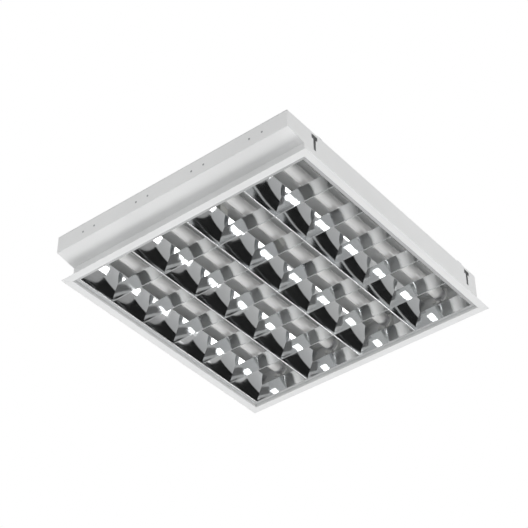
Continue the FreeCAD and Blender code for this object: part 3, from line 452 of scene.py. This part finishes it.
grey_moulding, tree, shader, place = finish_for("grey_peg_plastic")
coloured(tree, shader, cloudy(tree, place, 150, 2), (0.26, 0.27, 0.28), (0.34, 0.35, 0.36))
tree.links.new(between(tree, cloudy(tree, place, 500, 2), 0.45, 0.6), shader.inputs["Roughness"])
dents(tree, shader, [(cloudy(tree, place, 1800, 2), 0.02 * mm, 0.4)])

for row in (1, 2, 3, 4):
    for end in ("stepped", "flat"):
        softened(f"lampholder_{end}_{row}", white_moulding, "housing", 0.4 * mm, 2)
    softened(f"lamp_rotors_{row}", white_moulding, f"lamp_{row}", 0.25 * mm, 2)
for end in ("stepped", "flat"):
    softened(f"holder_pegs_{end}", grey_moulding, "housing", 0.25 * mm, 3)

# Tubes: four straight glass lamps, white inside with phosphor, each necked down into two turned aluminium
# caps with crimped grooves and two brass pins each. The coating greys a little towards the caps.
row_places = [136.35 * mm * (row - 1.5) for row in range(4)]
lamp_height = 62 * mm
lamp_start = -318.5 * mm
lamp_end = 271.5 * mm
tube_radius = 13 * mm
cap_length = 14 * mm
cap_radius = 13.1 * mm
neck_share = 12.5 / 13
groove_share = 12.65 / 13.1
pin_length = 7.1 * mm
pin_offset = 6.35 * mm
pin_radius = 1.175 * mm

tube_glass, tree, shader, place = finish_for("phosphor_coated_glass")
along = tree.nodes.new("ShaderNodeSeparateXYZ")
tree.links.new(place, along.inputs["Vector"])
from_middle = tree.nodes.new("ShaderNodeMath")
from_middle.operation = "ADD"
from_middle.inputs[1].default_value = 23.5 * mm
tree.links.new(along.outputs["X"], from_middle.inputs[0])
distance = tree.nodes.new("ShaderNodeMath")
distance.operation = "ABSOLUTE"
tree.links.new(from_middle.outputs["Value"], distance.inputs[0])
ends = tree.nodes.new("ShaderNodeMapRange")
ends.interpolation_type = "SMOOTHSTEP"
ends.inputs["From Min"].default_value = 250 * mm
ends.inputs["From Max"].default_value = 281 * mm
tree.links.new(distance.outputs["Value"], ends.inputs["Value"])
coat = tree.nodes.new("ShaderNodeMix")
coat.data_type = "RGBA"
coat.inputs["B"].default_value = (0.70, 0.70, 0.69, 1)
tree.links.new(ends.outputs["Result"], coat.inputs["Factor"])
streaks = cloudy(tree, stretched(tree, place, (1, 6, 6)), 20, 3)
tree.links.new(shades(tree, streaks, (0.87, 0.87, 0.86), (0.9, 0.9, 0.89)), coat.inputs["A"])
tree.links.new(coat.outputs["Result"], shader.inputs["Base Color"])
tree.links.new(between(tree, cloudy(tree, place, 60, 2), 0.5, 0.6), shader.inputs["Roughness"])
shader.inputs["Coat Weight"].default_value = 1
shader.inputs["Coat Roughness"].default_value = 0.04
dents(tree, shader, [(cloudy(tree, stretched(tree, place, (0.3, 1, 1)), 30, 1), 0.05 * mm, 0.3)])

cap_metal, tree, shader, place = finish_for("turned_cap_aluminium")
coloured(tree, shader, cloudy(tree, place, 120, 2), (0.72, 0.72, 0.73), (0.8, 0.8, 0.81))
tree.links.new(between(tree, cloudy(tree, place, 260, 2), 0.26, 0.38), shader.inputs["Roughness"])
shader.inputs["Metallic"].default_value = 1
dents(tree, shader, [(cloudy(tree, stretched(tree, place, (40, 1, 1)), 90, 2), 0.02 * mm, 0.4)])

pin_brass, tree, shader, place = finish_for("pin_brass")
coloured(tree, shader, cloudy(tree, place, 300, 3), (0.68, 0.55, 0.3), (0.8, 0.69, 0.44))
tree.links.new(between(tree, cloudy(tree, place, 500, 2), 0.2, 0.36), shader.inputs["Roughness"])
shader.inputs["Metallic"].default_value = 1
dents(tree, shader, [(cloudy(tree, stretched(tree, place, (20, 1, 1)), 300, 2), 0.01 * mm, 0.3)])


def moved_copy(piece, name, move):
    """A copy with its own mesh, moved in the mesh."""
    twin = bpy.data.objects.new(name, piece.data.copy())
    bpy.context.scene.collection.objects.link(twin)
    bpy.ops.object.select_all(action="DESELECT")
    twin.select_set(True)
    bpy.context.view_layer.objects.active = twin
    bpy.ops.object.mode_set(mode="EDIT")
    bpy.ops.mesh.select_all(action="SELECT")
    bpy.ops.transform.translate(value=move)
    bpy.ops.object.mode_set(mode="OBJECT")
    return twin


first_row = row_places[0]
glass_start = lamp_start + cap_length
glass_length = lamp_end - lamp_start - 2 * cap_length
tube = rod("tube_1_glass", (glass_start, first_row, lamp_height), glass_length, tube_radius, "x", 72)
for side in (-1, 1):
    face_x = glass_start if side < 0 else lamp_end - cap_length
    centre = (face_x, first_row, lamp_height)
    pick(tube, "FACE", lambda middle: near(middle.x, face_x))
    bpy.ops.mesh.extrude_region_move(TRANSFORM_OT_translate={"value": (3 * mm * side, 0, 0)})
    bpy.ops.transform.resize(value=(1, neck_share, neck_share), center_override=centre)
    bpy.ops.mesh.extrude_region_move(TRANSFORM_OT_translate={"value": (6 * mm * side, 0, 0)})
    bpy.ops.mesh.inset(thickness=4 * mm, depth=2 * mm)
bpy.ops.object.mode_set(mode="OBJECT")
apply_modifier(tube, "BEVEL", width=0.8 * mm, segments=3, limit_method="ANGLE", angle_limit=radians(8))
bpy.ops.object.shade_smooth_by_angle(angle=radians(30))

caps = []
for side in (-1, 1):
    mouth = glass_start if side < 0 else lamp_end - cap_length
    outer = lamp_start if side < 0 else lamp_end
    cap = rod("cap", (min(mouth, outer), first_row, lamp_height), cap_length, cap_radius, "x", 72)
    pick(cap, "FACE", lambda middle: near(middle.x, outer))
    bpy.ops.mesh.inset(thickness=0.9 * mm)
    bpy.ops.mesh.inset(thickness=0.5 * mm, depth=-0.35 * mm)
    bpy.ops.mesh.inset(thickness=2.2 * mm)
    bpy.ops.mesh.inset(thickness=0.3 * mm, depth=0.3 * mm)
    for groove in (2.4, 9.6):
        for cut in (0, 0.5, 1.0):
            bpy.ops.mesh.select_all(action="SELECT")
            bpy.ops.mesh.bisect(plane_co=(mouth + (groove + cut) * mm * side, 0, 0), plane_no=(1, 0, 0))
        ring = mouth + (groove + 0.5) * mm * side
        pick(cap, "VERT", lambda middle: near(middle.x, ring))
        centre = (ring, first_row, lamp_height)
        bpy.ops.transform.resize(value=(1, groove_share, groove_share), center_override=centre)
    pick(cap, "FACE", lambda middle: near(middle.x, mouth))
    bpy.ops.mesh.delete(type="FACE")
    bpy.ops.mesh.select_all(action="SELECT")
    bpy.ops.mesh.normals_make_consistent(inside=False)
    thicken(cap, 0.5 * mm, -1)
    caps.append(cap)
caps = as_one("tube_1_caps", caps)
ease_edges(caps, 0.18 * mm, 2, 40)

pins = []
for start in (lamp_start - pin_length, lamp_end):
    for side in (-1, 1):
        pin = rod("pin", (start, first_row + pin_offset * side, lamp_height), pin_length, pin_radius, "x", 24)
        bpy.ops.object.mode_set(mode="OBJECT")
        apply_modifier(
            pin, "BEVEL", width=0.6 * mm, segments=4, limit_method="ANGLE", angle_limit=radians(40)
        )
        pins.append(pin)
pins = as_one("tube_1_pins", pins)
bpy.ops.object.shade_smooth_by_angle(angle=radians(40))

for row, y in enumerate(row_places, 1):
    move = (0, y - first_row, 0)
    for kind, first, finish, slot in (
        ("glass", tube, tube_glass, "coated_glass"),
        ("caps", caps, cap_metal, "cap_aluminium"),
        ("pins", pins, pin_brass, "pin_brass"),
    ):
        piece = first if row == 1 else moved_copy(first, f"tube_{row}_{kind}", move)
        piece.data.materials.clear()
        piece.data.materials.append(finish)
        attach(piece, f"lamp_{row}")
        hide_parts(f"lamp_{'tube' if kind == 'glass' else kind}_{row}")

# Louvre: every strip is bright anodised aluminium sheet, rolled into concave faces that mirror the tubes
# and the room. The faces are smooth arcs, with faint rolling lines and a little waviness in the mirror.
louvre_sheet = 0.5 * mm
louvre_foot = 5.5 * mm
frame_edge = 280.5 * mm
opening = 272.7 * mm
row_pitch = opening / 2
cell_pitch = opening / 3
face_height = 48.5 * mm
blade_height = 33 * mm
play = 0.15 * mm
half_top = 36 * mm
rim = 4 * mm
upturn = 12.5 * mm
nose_fold = 1.1 * mm
rim_fold = 1.0 * mm
lip_fold = 0.7 * mm
blade_fold = 0.4 * mm

mirror, tree, shader, place = finish_for("bright_anodised_aluminium")
coloured(tree, shader, cloudy(tree, place, 8, 3), (0.84, 0.85, 0.86), (0.88, 0.89, 0.89))
gloss_lines = cloudy(tree, stretched(tree, place, (1, 12, 12)), 20, 3)
tree.links.new(between(tree, gloss_lines, 0.05, 0.09), shader.inputs["Roughness"])
shader.inputs["Metallic"].default_value = 1
rolling = cloudy(tree, stretched(tree, place, (0.6, 60, 60)), 14, 2)
ripple = cloudy(tree, stretched(tree, place, (0.5, 1, 1)), 16, 1)
dents(tree, shader, [(ripple, 0.6 * mm, 0.3), (rolling, 0.01 * mm, 0.25)])


class Rolled:
    """A rolled concave face: how far out over the cell it lies at each height above the louvre's foot."""

    def __init__(self, edge, top, height, radius):
        chord = hypot(top - edge, height)
        reach = sqrt(radius * radius - chord * chord / 4)
        self.edge = edge
        self.radius = radius
        self.centre_out = (edge + top) / 2 + reach * height / chord
        self.centre_up = height / 2 - reach * (top - edge) / chord
        start = atan2(-self.centre_up, edge - self.centre_out)
        stop = atan2(height - self.centre_up, top - self.centre_out)
        self.turn = start - stop

    def out(self, up, behind=0):
        """How far out the face, or a line at a distance behind it, lies at a height."""
        radius = self.radius + behind
        return self.centre_out - sqrt(radius * radius - (up - self.centre_up) ** 2)


long_face = Rolled(1.2 * mm, half_top, face_height, 120 * mm)
cross_face = Rolled(0.8 * mm, 6 * mm, blade_height, 150 * mm)


def roll_face(piece, axis, line, side, face, steps):
    """Rolls the selected edge up into a concave face; line is where the sheet's knife edge has its middle."""
    across = line + face.centre_out * side
    up = louvre_foot + face.centre_up
    centre = (0, across, up) if axis == "x" else (across, 0, up)
    direction = (1, 0, 0) if axis == "x" else (0, 1, 0)
    turn = face.turn * side if axis == "x" else -face.turn * side
    bpy.ops.mesh.spin(steps=steps, angle=turn, center=centre, axis=direction)


def fit_ends(piece, axis, half, face, top):
    """Moves both ends of a strip, height by height, to the concave faces that it runs between."""
    bpy.ops.mesh.select_mode(type="VERT")
    mesh = bmesh.from_edit_mesh(piece.data)
    heights = sorted({round((corner.co.z - louvre_foot) / mm, 3) for corner in mesh.verts})
    number = 0 if axis == "x" else 1
    for height in heights:
        reach = half - face.out(min(height * mm, top), -play)
        pick(piece, "VERT", lambda middle: near(middle.z - louvre_foot, height * mm, 0.002 * mm))
        value = [1, 1, 1]
        value[number] = reach / half
        bpy.ops.transform.resize(value=value, center_override=(0, 0, 0))


def polish(piece, name):
    """Shades the rolled faces smooth and gives the piece its finish and body."""
    ease_edges(piece, 0.1 * mm, 1, 40)
    piece.data.materials.clear()
    piece.data.materials.append(mirror)
    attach(piece, "louvre")
    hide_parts(name)


# Lengthways reflectors: strips folded round a narrow flat edge into two concave faces, with folded rims on
# top. Their ends are cut to the curve of the end reflectors.
edge = long_face.edge
lengthways = flat_piece("lengthways_reflector_1", -opening, opening, -edge, edge, louvre_foot)
bpy.ops.mesh.flip_normals()
for side in (-1, 1):
    pick(lengthways, "EDGE", lambda middle: near(middle.y, long_face.edge * side))
    roll_face(lengthways, "x", 0, side, long_face, 28)
    fold_out((0, -rim * side, 0))
fit_ends(lengthways, "x", opening, cross_face, blade_height)
for height, y, radius, turn in (
    (louvre_foot, edge, nose_fold, 68),
    (louvre_foot + face_height, half_top, rim_fold, 140),
):
    round_folds(
        lengthways, lambda middle: near(middle.z, height) and near(abs(middle.y), y), radius, turn, 5
    )
thicken(lengthways, louvre_sheet, -1)
polish(lengthways, "reflector_1")
for number in (2, 3):
    twin = moved_copy(lengthways, f"lengthways_reflector_{number}", (0, row_pitch * (number - 2), 0))
    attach(twin, "louvre")
    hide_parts(f"reflector_{number}")
bpy.ops.object.select_all(action="DESELECT")
lengthways.select_set(True)
bpy.context.view_layer.objects.active = lengthways
bpy.ops.object.mode_set(mode="EDIT")
bpy.ops.mesh.select_all(action="SELECT")
bpy.ops.transform.translate(value=(0, -row_pitch, 0))
bpy.ops.object.mode_set(mode="OBJECT")

# Long sides of the louvre frame: half a reflector with a flat lip and an upturned outer edge. The side with
# the hinge has four notches in the upturned edge, where the legs of the hinge wires pass.
for side, name, node in (
    (-1, "hinged_side_reflector", "side_reflector_hinged"),
    (1, "free_side_reflector", "side_reflector_free"),
):
    inner = (opening - long_face.edge) * side
    outer = frame_edge * side
    strip = flat_piece(name, -opening, opening, min(inner, outer), max(inner, outer), louvre_foot)
    bpy.ops.mesh.flip_normals()
    pick(strip, "EDGE", lambda middle: near(middle.y, outer))
    fold_out((0, 0, upturn))
    pick(strip, "EDGE", lambda middle: near(middle.y, inner))
    roll_face(strip, "x", opening * side, -side, long_face, 28)
    fold_out((0, rim * side, 0))
    fit_ends(strip, "x", opening, cross_face, blade_height)
    for height, y, radius, turn, segments in (
        (louvre_foot, abs(inner), nose_fold, 68, 5),
        (louvre_foot, abs(outer), lip_fold, 90, 3),
        (louvre_foot + face_height, opening - half_top, rim_fold, 140, 5),
    ):
        round_folds(
            strip, lambda middle: near(middle.z, height) and near(abs(middle.y), y), radius, turn, segments
        )
    thicken(strip, louvre_sheet, -1)
    if side < 0:
        notches = []
        for middle in (-200 * mm, 200 * mm):
            for leg in (-10 * mm, 10 * mm):
                x = middle + leg
                low = (x - 2.5 * mm, -0.282, 6.5 * mm)
                notches.append(block("notch", low, (x + 2.5 * mm, -0.2795, 20 * mm)))
                bpy.ops.object.mode_set(mode="OBJECT")
        punch(strip, as_one("notches", notches))
    polish(strip, node)

# Short sides of the louvre frame: half a cross blade with a lip that runs the full width, so that the long
# sides' lips butt against it.
for side, name, node in (
    (-1, "stepped_end_reflector", "end_reflector_stepped"),
    (1, "flat_end_reflector", "end_reflector_flat"),
):
    inner = (opening - cross_face.edge) * side
    outer = frame_edge * side
    strip = flat_piece(name, min(inner, outer), max(inner, outer), -frame_edge, frame_edge, louvre_foot)
    bpy.ops.mesh.flip_normals()
    pick(strip, "EDGE", lambda middle: near(middle.x, outer))
    fold_out((0, 0, upturn))
    pick(strip, "EDGE", lambda middle: near(middle.x, inner))
    roll_face(strip, "y", opening * side, -side, cross_face, 14)
    for x, radius, turn in ((inner, blade_fold, 85), (outer, lip_fold, 90)):
        round_folds(
            strip, lambda middle: near(middle.z, louvre_foot) and near(middle.x, x), radius, turn, 3
        )
    thicken(strip, louvre_sheet, -1)
    polish(strip, node)

# Cross blades: thin concave V strips between the reflectors of each row, their ends cut to the reflectors.
blade = flat_piece("blade", -cross_face.edge, cross_face.edge, -row_pitch / 2, row_pitch / 2, louvre_foot)
bpy.ops.mesh.flip_normals()
for side in (-1, 1):
    pick(blade, "EDGE", lambda middle: near(middle.x, cross_face.edge * side))
    roll_face(blade, "y", 0, side, cross_face, 14)
fit_ends(blade, "y", row_pitch / 2, long_face, face_height)
round_folds(
    blade,
    lambda middle: near(middle.z, louvre_foot) and near(abs(middle.x), cross_face.edge),
    blade_fold,
    85,
    3,
)
thicken(blade, louvre_sheet, -1)
ease_edges(blade, 0.1 * mm, 1, 40)
for number in range(1, 6):
    line = []
    for row, y in enumerate(row_places, 1):
        line.append(moved_copy(blade, f"line_{number}_blade_{row}", (cell_pitch * (number - 3), y, 0)))
    line = as_one(f"cross_blade_line_{number}", line)
    line.data.materials.clear()
    line.data.materials.append(mirror)
    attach(line, "louvre")
    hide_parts(f"cross_blades_{number}")
bpy.data.objects.remove(blade)

# Hinge lugs: small bored zinc plated blocks on the hinged side's lip, which turn on the hinge wires.
softened("louvre_hinge_lugs", zinc_plate, "louvre", 0.4 * mm)

# Studio: white all round as the camera, the metal and the glass see it, a pale floor far below, soft lamps,
# and black, grey and pale panels that only the bright metal sees. The panels were placed one by one.
bpy.ops.object.select_all(action="DESELECT")
bpy.ops.mesh.primitive_plane_add(size=40, location=(0, 0, -3.3))
floor = bpy.context.object
floor.name = "studio_floor"
floor_paint, tree, shader, place = finish_for("studio_floor_paint")
coloured(tree, shader, cloudy(tree, place, 0.8, 2), (0.88, 0.88, 0.88), (0.9, 0.9, 0.9))
shader.inputs["Roughness"].default_value = 0.8
floor.data.materials.append(floor_paint)

world = bpy.data.worlds.new("studio")
bpy.context.scene.world = world
world.use_nodes = True
tree = world.node_tree
tree.nodes["Background"].inputs["Color"].default_value = (0.44, 0.44, 0.44, 1)
white = tree.nodes.new("ShaderNodeBackground")
white.inputs["Color"].default_value = (1, 1, 1, 1)
paths = tree.nodes.new("ShaderNodeLightPath")
seen = tree.nodes.new("ShaderNodeMath")
seen.operation = "MAXIMUM"
tree.links.new(paths.outputs["Is Camera Ray"], seen.inputs[0])
tree.links.new(paths.outputs["Is Glossy Ray"], seen.inputs[1])
mirrored = tree.nodes.new("ShaderNodeMath")
mirrored.operation = "MAXIMUM"
tree.links.new(seen.outputs["Value"], mirrored.inputs[0])
tree.links.new(paths.outputs["Is Transmission Ray"], mirrored.inputs[1])
mix = tree.nodes.new("ShaderNodeMixShader")
tree.links.new(mirrored.outputs["Value"], mix.inputs["Fac"])
tree.links.new(tree.nodes["Background"].outputs["Background"], mix.inputs[1])
tree.links.new(white.outputs["Background"], mix.inputs[2])
tree.links.new(mix.outputs["Shader"], tree.nodes["World Output"].inputs["Surface"])


def soft_lamp(name, place, aim, size, power, mirrored=True):
    """A square soft lamp that faces a point; one that isn't mirrored stays out of the bright metal."""
    bpy.ops.object.light_add(type="AREA", location=place)
    lamp = bpy.context.object
    lamp.name = name
    lamp.data.size = size
    lamp.data.energy = power
    lamp.rotation_euler = (Vector(aim) - Vector(place)).to_track_quat("-Z", "Y").to_euler()
    lamp.visible_glossy = mirrored


soft_lamp("key_lamp_right", (2.42, -1.72, -1.95), (0, 0, 0), 0.62, 6)
soft_lamp("key_lamp_left", (1.92, -2.27, -1.95), (0, 0, 0), 0.62, 6)
soft_lamp("top_lamp", (-0.9, -0.7, 3.0), (0, 0, 0), 2.4, 46, False)
soft_lamp("side_lamp", (0.2, -3.4, -0.7), (0, 0, 0), 1.6, 24, False)
soft_lamp("low_lamp", (0.1, 0.3, -3.1), (0, 0, 0), 1.1, 19, False)
soft_lamp("low_back_lamp", (0.2, 1.9, -2.9), (0, 0, 0), 1.5, 18, False)
soft_lamp("fill_lamp", (-3.4, 0.6, -0.9), (0, 0, 0), 1.8, 22, False)


def panel(name, turn, rise, distance, width, height, dark, light):
    """A glowing panel that faces the light from a compass turn and rise and is seen by bright metal only, as
    a painted reflection.
    """
    bpy.ops.object.select_all(action="DESELECT")
    level = cos(radians(rise))
    toward = Vector((cos(radians(turn)) * level, sin(radians(turn)) * level, sin(radians(rise))))
    bpy.ops.mesh.primitive_plane_add(size=1, location=toward * distance)
    card = bpy.context.object
    card.name = card.data.name = name
    card.scale = (width, height, 1)
    card.rotation_euler = toward.to_track_quat("Z", "Y").to_euler()
    # The panel's colour glows and lights nothing: it paints a dark, grey or pale reflection into the metal.
    painted_reflection = bpy.data.materials.new(name + "_cloth")
    painted_reflection.use_nodes = True
    tree = painted_reflection.node_tree
    tree.nodes.remove(tree.nodes["Principled BSDF"])
    glow = tree.nodes.new("ShaderNodeEmission")
    place = tree.nodes.new("ShaderNodeTexCoord").outputs["Object"]
    tree.links.new(shades(tree, cloudy(tree, place, 2.5, 2), (dark,) * 3, (light,) * 3), glow.inputs["Color"])
    tree.links.new(glow.outputs["Emission"], tree.nodes["Material Output"].inputs["Surface"])
    card.data.materials.append(painted_reflection)
    card.visible_camera = False
    card.visible_diffuse = False
    card.visible_shadow = False
    card.visible_transmission = False


# Painted reflections: name, compass turn, rise, distance, width, height, and the darkest and lightest glow.
panel("near_black_flag", -124, -9, 3.2, 1.5, 1.9, 0.008, 0.016)
panel("side_black_flag", 141, -34, 3.2, 1.3, 1.2, 0.008, 0.02)
panel("left_grey_panel", -158, -14, 3.4, 1.8, 1.7, 0.1, 0.16)
panel("left_dark_panel", 170, -20, 3.6, 2.4, 2.6, 0.02, 0.06)
panel("right_grey_panel", -68, -12, 3.6, 2.2, 3.0, 0.24, 0.34)
panel("far_grey_panel", 0, -14, 4.4, 3.2, 3.2, 0.24, 0.36)
panel("back_pale_panel", 50, -30, 4.0, 4.2, 3.4, 0.42, 0.62)

bpy.context.scene.view_settings.view_transform = "Standard"
bpy.context.scene.cycles.max_bounces = 16
bpy.context.scene.cycles.diffuse_bounces = 6
bpy.context.scene.cycles.glossy_bounces = 10
